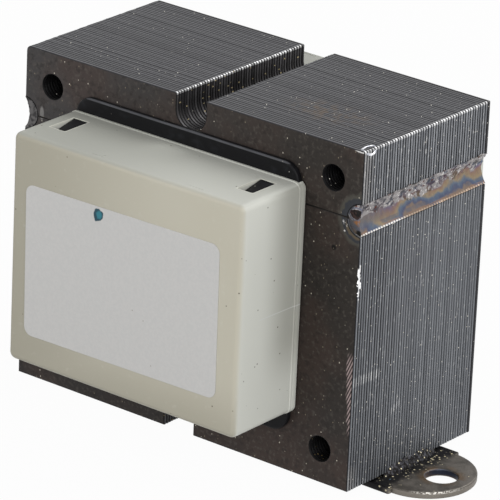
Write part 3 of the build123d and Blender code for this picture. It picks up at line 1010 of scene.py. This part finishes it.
def makeShroudPlastic():
    s = Finish("shroudPlastic", {
        "black": (16, 16, 18),
        "worn": (30, 31, 34),
        "rubbed": (88, 89, 93),
        "dust": (150, 148, 140),
        "rough": (0.42, 0.1, 1.0, 3.0),
        "bump": (0.2, 0.02, 3.0, 3.0),
        "level": 0.12,
    })
    s.tone = s.mix(s.cloud(0.6, 4.0).fade(0.5, 0.8), "black", "worn")
    # painted highlight along the top front edge of the plate
    rim = s.z.fade(shroudHigh.z / mm - 0.32, shroudHigh.z / mm - 0.2)
    rim = rim * s.y.size().fade(backY + 0.75, backY + 0.9)
    s.paint("rubbed", rim * (0.5 + s.cloud(0.5) * 0.5))
    s.scatter("dust", scale=0.8, radius=0.1, share=0.2)
    s.finish()


def makeCoverPlastic():
    s = Finish("coverPlastic", {
        "cream": (208, 209, 201),
        "yellowed": (186, 181, 164),
        "shaded": (158, 154, 139, 0.75),
        "hidden": (164, 164, 155, 0.85),
        "dusty": (164, 165, 157),
        "speck": (84, 76, 62, 0.9),
        "rounded": (208, 208, 200, 0.5),
        "pale": (208, 208, 200, 0.18),
        "slotRim": (226, 226, 214, 0.8),
        "scratch": (210, 212, 210, 0.6),
        "rough": (0.42, 0.12, 1.2, 3.0),
        "bump": (0.12, 0.03, 2.5, 3.0),
        "level": 0.35,
    })
    # the face is painted darker and yellower, partly real yellowing and partly painted shade, with more
    # painted shade to the left and below
    faceY = coverFace / mm
    rightX = coverHigh.x / mm
    upperZ = coverHigh.z / mm
    depth = s.y.size()
    face = depth.fade(faceY - 0.9, faceY - 0.05)
    s.tone = s.mix(face * (0.75 + s.cloud(0.06) * 0.25), "cream", "yellowed")
    s.paint("shaded", face * s.x.fade(12.0, -sideX * 0.7).larger(s.z.fade(22.0, 10.0)))
    # painted highlight along the rounded upper front edge
    s.paint("rounded", depth.between(faceY - 1.1, faceY - 0.75, 0.35) * s.z.fade(44.0, 46.0))
    s.paint("pale", s.cloud(0.9, 4.0).fade(0.6, 0.8))

    # painted shade on the top, stronger to the left, and painted shade at the back of the right wall
    upper = s.z.fade(upperZ - 0.6, upperZ - 0.3)
    s.paint("dusty", upper * (s.x.fade(20.0, -16.0) * 0.6 + 0.3))
    near = depth.fade(26.0, 18.5) * s.x.fade(rightX - 0.6, rightX - 0.3)
    s.paint("hidden", near * s.z.fade(16.0, 26.0))

    # painted highlights on the rims of the slots, a scratch on the right wall and specks
    beside = (s.x.size() - slotX / mm).size() - cover["slotWidth"] / 2 / mm
    beyond = (depth - (slotNear + slotFar) / 2 / mm).size() - cover["slotLength"] / 2 / mm
    s.paint("slotRim", beside.larger(beyond).between(0.0, 0.1, 0.06) * upper)
    line = (s.z + s.y * 0.02 - 29.54).size().fade(0.12, 0.04) * s.y.between(-25.5, -15.8, 1.0)
    s.paint("scratch", line * s.x.fade(20.0, 22.0))
    s.scatter("speck", scale=0.5, radius=0.09, share=0.5)
    s.finish()


def latchArm(x, wallFace, up):
    outer = wallFace - up * (cover["wall"] + latch["underWall"])
    inner = outer - up * latch["thickness"]
    tip = -slotFar - latch["tip"]
    catch = -slotNear - latch["catchPlay"]
    outline = [
        (-halfDepth, inner), (tip, inner), (tip, outer), (-slotFar, outer + up * latch["rampFoot"]),
        (catch, wallFace - up * latch["catchSunk"]), (catch, outer), (-halfDepth, outer),
    ]
    mesh = stampedPlate([outline], cover["slotWidth"] - 2 * latch["play"], latch["edgeRound"])
    mesh.transform(Matrix(((0, 0, 1, x), (1, 0, 0, 0), (0, 1, 0, 0), (0, 0, 0, 1))))
    return mesh


def shroudMesh():
    # plate with an opening, a liner along the window and four latch arms
    low, high = shroudLow.z, shroudHigh.z
    tall, middle = high - low, (low + high) / 2
    outline = roundedBox(2 * linerOuter, tall, shroud["corner"], shroud["cornerSteps"], (0, middle))
    opening = [
        (-linerInner, openingBottom), (linerInner, openingBottom),
        (linerInner, openingTop), (-linerInner, openingTop),
    ]
    plate = stampedPlate([outline, opening], shroud["thickness"], shroud["edgeRound"], 3)
    meshes = [standUp(plate, -halfDepth - shroud["thickness"] / 2)]
    legEdge = core["legWidth"] / 2 + shroud["legGap"]
    back = -shroud["middleGap"] / 2
    for side in (-1, 1):
        for near, far, bottom, top in (
            (linerInner, linerOuter, linerBottom, linerTop),
            (legEdge, linerInner, linerBottom, openingBottom),
            (legEdge, linerInner, openingTop, linerTop),
        ):
            left, right = sorted((side * near, side * far))
            meshes.append(block((left, -halfDepth, bottom), (right, back, top)))
        for wallFace, up in ((coverTop, 1), (coverBottom, -1)):
            meshes.append(latchArm(side * slotX, wallFace, up))
    return joined(meshes)


def coverOutline(inset):
    # outline of the cover, smaller by inset all round
    corner = max(cover["sideCorner"] - inset, cover["leastCorner"])
    wide, tall = 2 * (coverHalf - inset), coverTop - coverBottom - 2 * inset
    return roundedBox(wide, tall, corner, cover["cornerSteps"], (0, coverCentre))


def coverShell():
    # open box lofted from the front face over the side to the rim and back inside
    profile = []
    for i in range(cover["frontSteps"] + 1):
        angle = math.radians(90 * i / cover["frontSteps"])
        inset = cover["frontRound"] * (1 - math.sin(angle))
        profile.append((inset, -coverFace + cover["frontRound"] * (1 - math.cos(angle))))
    lipStart, lipFull = [-shroudFace - cover["lipWidth"] + slope for slope in cover["lipSlope"]]
    profile += [
        (0, lipStart),
        (-cover["lipProud"], lipFull),
        (-cover["lipProud"], -shroudFace - cover["lipEdge"]),
        (-cover["lipProud"] + cover["lipEdge"], -shroudFace),
        (cover["wall"], -shroudFace),
        (cover["wall"], -coverFace + cover["wall"]),
    ]
    return tube("coverShell", [[(x, y, z) for x, z in coverOutline(inset)] for inset, y in profile])


def coverCutters():
    # two slots through the upper and lower walls, and the exit in the lower wall
    cutters = []
    tall = coverTop - coverBottom + 2 * cover["wall"]
    outline = roundedBox(cover["slotWidth"], cover["slotLength"], cover["slotCorner"], 4)
    for side in (-1, 1):
        slot = stampedPlate([outline], tall, 0.01 * mm, 0)
        slot.transform(Matrix.Translation((side * slotX, -(slotNear + slotFar) / 2, coverCentre)))
        cutters.append(slot)
    exitLeft = cover["exitOffset"] - cover["exitWidth"] / 2
    cutters.append(block(
        (exitLeft, -shroudFace - cover["exitDepth"], coverBottom - cover["wall"]),
        (exitLeft + cover["exitWidth"], -shroudFace + 1 * mm, coverBottom + cover["wall"]),
    ))
    return cutters


def coverSkirts():
    # thin rims that reach past the shroud plate on both sides
    reach = shroud["thickness"] - cover["skirtGap"]
    plate = stampedPlate([coverOutline(-cover["lipProud"])], reach, cover["skirtRound"])
    standUp(plate, -shroudFace + reach / 2)
    inner = linerOuter + cover["skirtPlay"]
    low = (-inner, -shroudFace - 1 * mm, coverBottom - 2 * mm)
    return cutAway(plate, [block(low, (inner, -halfDepth + 1 * mm, coverTop + 2 * mm))])


def gateMarks():
    # two faint moulding ledges on the upper wall near the front edge
    return [
        block(
            ((x - width / 2) * mm, (y - length / 2) * mm, coverTop - cover["markSunk"]),
            ((x + width / 2) * mm, (y + length / 2) * mm, coverTop + cover["markProud"]),
        )
        for x, width, y, length in cover["marks"]
    ]


makeShroudPlastic()
makeCoverPlastic()
frontShroud = shroudMesh()
rearShroud = turnedRound(frontShroud)
frontCover = joined([cutAway(coverShell(), coverCutters()), coverSkirts()] + gateMarks())
rearCover = turnedRound(frontCover)
piece("frontShroud", frontShroud, ["shroudPlastic"], "front_shroud")
piece("rearShroud", rearShroud, ["shroudPlastic"], "rear_shroud")
piece("frontCover", frontCover, ["coverPlastic"], "front_cover")
piece("rearCover", rearCover, ["coverPlastic"], "rear_cover")
print("shrouds and covers built")

# label
label = {
    "width": 38.3 * mm,
    "height": 25.0 * mm,
    "corner": 1.5 * mm,
    "cornerSteps": 10,
    "thickness": 0.12 * mm,
    "edgeRound": 0.03 * mm,
    "tilt": 0.75,
    "centre": ((labelLow.x + labelHigh.x) / 2, (labelLow.z + labelHigh.z) / 2, 0),
    "dot": (-5.28, labelLow.y / mm, 40.69),
    "dotMiddle": (-5.08, labelLow.y / mm, 40.79),
}


def makeLabelFilm():
    s = Finish("labelFilm", {
        "film": (197, 196, 194),
        "cool": (187, 187, 186),
        "dot": (40, 116, 130),
        "dotDark": (18, 62, 76),
        "mark": (120, 106, 86, 0.7),
        "rough": (0.4, 0.0),
        "bump": (0.06, 0.01, 4.0, 2.0),
        "metal": 0.1,
        "level": 0.4,
    })
    s.tone = s.mix(s.cloud(2.6, 3.0).fade(0.35, 0.65) * 0.4, "film", "cool")
    dot = (s.away(label["dot"]) + (s.cloud(1.0, 3.0) - 0.5) * 1.1).fade(1.05, 0.85)
    middle = (s.away(label["dotMiddle"]) + (s.cloud(1.4) - 0.5) * 0.8).fade(0.75, 0.4)
    s.paint("dotDark", dot)
    s.paint("dot", dot * middle)
    s.scatter("mark", scale=0.5, radius=0.07, share=0.16)
    s.finish()


def ratingLabel():
    outline = roundedBox(label["width"], label["height"], label["corner"], label["cornerSteps"])
    mesh = stampedPlate([outline], label["thickness"], label["edgeRound"])
    mesh.transform(Matrix.Rotation(math.radians(label["tilt"]), 4, "Z"))
    mesh.transform(Matrix.Translation(label["centre"]))
    standUp(mesh, -coverFace - label["thickness"] / 2)
    piece("ratingLabel", mesh, ["labelFilm"], "rating_label")


makeLabelFilm()
ratingLabel()

# burr at the top front corner
burr = {
    "centre": (halfWidth - 0.6 * mm, -halfDepth + 1.9 * mm, coreTop - 0.1 * mm),
    "across": 0.72 * mm,
    "along": 1.3 * mm,
    "thickness": 0.22 * mm,
    "ragged": 0.35,
    "droop": 0.9,
    "points": 14,
}


def makeBurrMetal():
    s = Finish("burrMetal", {
        "bright": (250, 250, 252),
        "grey": (150, 152, 160),
        "rough": (0.3, 0.1, 3.0, 2.0),
        "bump": (0.3, 0.05, 4.0, 3.0),
        "metal": 0.75,
    })
    s.tone = s.mix(s.cloud(2.0, 3.0).fade(0.4, 0.6), "bright", "grey")
    s.finish()


def cornerBurr():
    # a bent ring of torn metal over the edge
    x, y, z = burr["centre"]
    points = []
    for i in range(burr["points"]):
        angle = 2 * math.pi * i / burr["points"]
        wobble = 1 + burr["ragged"] * lumps(math.cos(angle), math.sin(angle), 6.0)
        across = burr["across"] * wobble * math.cos(angle)
        along = burr["along"] * wobble * math.sin(angle)
        points.append((x + across, y + along, z - max(0.0, across) * burr["droop"]))
    curve = bpy.data.curves.new("cornerBurr", "CURVE")
    curve.dimensions = "3D"
    curve.bevel_depth = burr["thickness"]
    curve.bevel_resolution = 2
    addLine(curve, points)
    piece("cornerBurr", curveMesh(curve), ["burrMetal"], None, sharp=70)


makeBurrMetal()
cornerBurr()
print("label and burr built")


# finishes of the hidden pieces
def makeMagnetWire():
    s = Finish("magnetWire", {
        "bright": (196, 108, 56),
        "dark": (104, 42, 18),
        "stain": (104, 42, 18, 0.3),
        "gauge": 0.42,  # wire diameter in millimetres
        "rough": (0.26, 0.1, 2.0, 2.0),
        "bump": (0.8, 0.15),
        "metal": 0.8,
    })
    crown = 1 - (s.z / s.look["gauge"]).wave()
    # painted highlight on the crown of each turn and painted shade between turns
    s.tone = s.mix(crown.fade(0.1, 0.7), "dark", "bright")
    s.paint("stain", s.cloud(0.5, 3.0).fade(0.5, 0.8))
    s.finish(height=crown)


def makeTape():
    s = Finish("insulatingTape", {
        "yellow": (222, 176, 46),
        "deep": (186, 132, 28),
        "rough": (0.22, 0.18),
        "bump": (0.4, 0.08),
        "coat": 0.2,
    })
    s.tone = s.mix(s.cloud(0.3, 4.0), "deep", "yellow")
    wrap = s.cloud(1.0, 2.0, (0.2, 0.2, 2.5))
    s.finish(wrap, wrap)


clouded = {
    "formerNylon": {
        "first": (214, 208, 190),
        "second": (198, 190, 168),
        "clouds": (0.2, 3.0),
        "rough": (0.45, 0.1, 1.5, 2.0),
        "bump": (0.15, 0.02, 5.0, 3.0),
    },
    "tinnedSplice": {
        "first": (186, 182, 172),
        "second": (150, 146, 138),
        "clouds": (1.6, 4.0),
        "rough": (0.3, 0.15, 3.0, 2.0),
        "bump": (0.3, 0.05, 4.0, 3.0),
        "metal": 0.85,
    },
    "padCard": {
        "first": (122, 126, 122),
        "second": (98, 102, 100),
        "clouds": (1.2, 5.0, (1, 1, 4)),
        "rough": (0.7, 0.1, 4.0, 2.0),
        "bump": (0.4, 0.03, 5.0, 5.0),
    },
}
makeMagnetWire()
makeTape()
for finishName, look in clouded.items():
    s = Finish(finishName, look)
    s.tone = s.mix(s.cloud(*look["clouds"]), "first", "second")
    s.finish()
print("finishes made:", len(finishes))

# every CAD solid gets a finish, also those that a finer piece stands for
solidsOfFinish = {
    "laminationFace": ["e_lamination_stack", "i_lamination_stack"],
    "weldMetal": ["right_weld_bead", "left_weld_bead"],
    "strapSteel": ["mounting_strap"],
    "sootyWeld": ["right_strap_weld", "left_strap_weld"],
    "formerNylon": ["coil_former"],
    "magnetWire": ["primary_main_winding", "primary_tap_winding", "secondary_winding"],
    "insulatingTape": ["primary_layer_tape", "primary_outer_tape", "secondary_outer_tape"],
    "tinnedSplice": ["primary_splices", "secondary_splices"],
    "padCard": ["primary_splice_pad", "secondary_splice_pad"],
    "shroudPlastic": ["front_shroud", "rear_shroud"],
    "coverPlastic": ["front_cover", "rear_cover"],
    "labelFilm": ["rating_label"],
}
for finishName, nodeNames in solidsOfFinish.items():
    for nodeName in nodeNames:
        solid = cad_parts[nodeName]
        solid.data.materials.clear()
        solid.data.materials.append(finishes[finishName])

# studio
studio = {
    "world": 0.25,
    "lamps": [  # name, place, size and power
        ("backLamp", (0.2, 0.5, 0.75), 0.5, 3.9),
        ("rightLamp", (0.75, -0.5, 0.4), 0.6, 5.3),
        ("leftLamp", (-0.45, -0.85, 0.45), 0.6, 3.6),
    ],
    "aim": Vector((0, 0, 0.028)),
    "floorSize": 6.0,
    "floorColour": (0.6, 0.6, 0.6, 1),
    "white": (1, 1, 1, 1),
    "glow": 0.97,
}
view = {
    "place": Vector((428.892, -553.859, 308.188)) * mm,
    "azimuth": 37.734,
    "elevation": 21.827,
    "roll": 2.602,
    "lens": 345.517,
    "sensor": 36.0,
    "clipStart": 0.05,
}


def lookedAt(s):
    # 1 where the camera, a reflection or a view through something looks, 0 for light on the object
    camera, glossy, through = [
        s.node("LightPath", output=name)
        for name in ("Is Camera Ray", "Is Glossy Ray", "Is Transmission Ray")
    ]
    return camera.larger(glossy).larger(through)


def makeWorld():
    world = bpy.data.worlds.new("studio")
    s = Shader(world)
    light = s.node("Background", {}, {"Color": studio["white"], "Strength": studio["world"]})
    white = s.node("Background", {}, {"Color": studio["white"], "Strength": 1.0})
    s.node("OutputWorld", {}, {0: s.node("MixShader", {}, {0: lookedAt(s), 1: light, 2: white})})
    bpy.context.scene.world = world


def makeFloor():
    half = studio["floorSize"] / 2
    corners = [(-half, -half, 0), (half, -half, 0), (half, half, 0), (-half, half, 0)]
    mesh = bpy.data.meshes.new("floor")
    mesh.from_pydata(corners, [], [(0, 1, 2, 3)])
    s = Shader(bpy.data.materials.new("floorPaper"))
    paper = s.node("BsdfDiffuse", {}, {"Color": studio["floorColour"]})
    white = s.node("Emission", {}, {"Color": studio["white"], "Strength": 1.0})
    share = lookedAt(s) * studio["glow"]
    s.node("OutputMaterial", {}, {0: s.node("MixShader", {}, {0: share, 1: paper, 2: white})})
    mesh.materials.append(s.owner)
    floor = placed("floor", mesh)


def makeLamps():
    for name, place, size, power in studio["lamps"]:
        lamp = bpy.data.lights.new(name, "AREA")
        lamp.shape = "SQUARE"
        lamp.size = size
        lamp.energy = power
        holder = placed(name, lamp)
        holder.location = place
        holder.rotation_euler = (studio["aim"] - Vector(place)).to_track_quat("-Z", "Y").to_euler()


def makeCamera():
    camera = bpy.data.cameras.new("camera")
    camera.lens = view["lens"]
    camera.sensor_width = view["sensor"]
    camera.clip_start = view["clipStart"]
    holder = placed("camera", camera)
    turn = Matrix.Rotation(math.radians(view["azimuth"]), 4, "Z")
    turn = turn @ Matrix.Rotation(math.radians(90 - view["elevation"]), 4, "X")
    turn = turn @ Matrix.Rotation(math.radians(view["roll"]), 4, "Z")
    holder.matrix_world = Matrix.Translation(view["place"]) @ turn
    bpy.context.scene.camera = holder


makeWorld()
makeFloor()
makeLamps()
makeCamera()
bpy.context.scene.view_settings.view_transform = "Standard"
print("studio set")
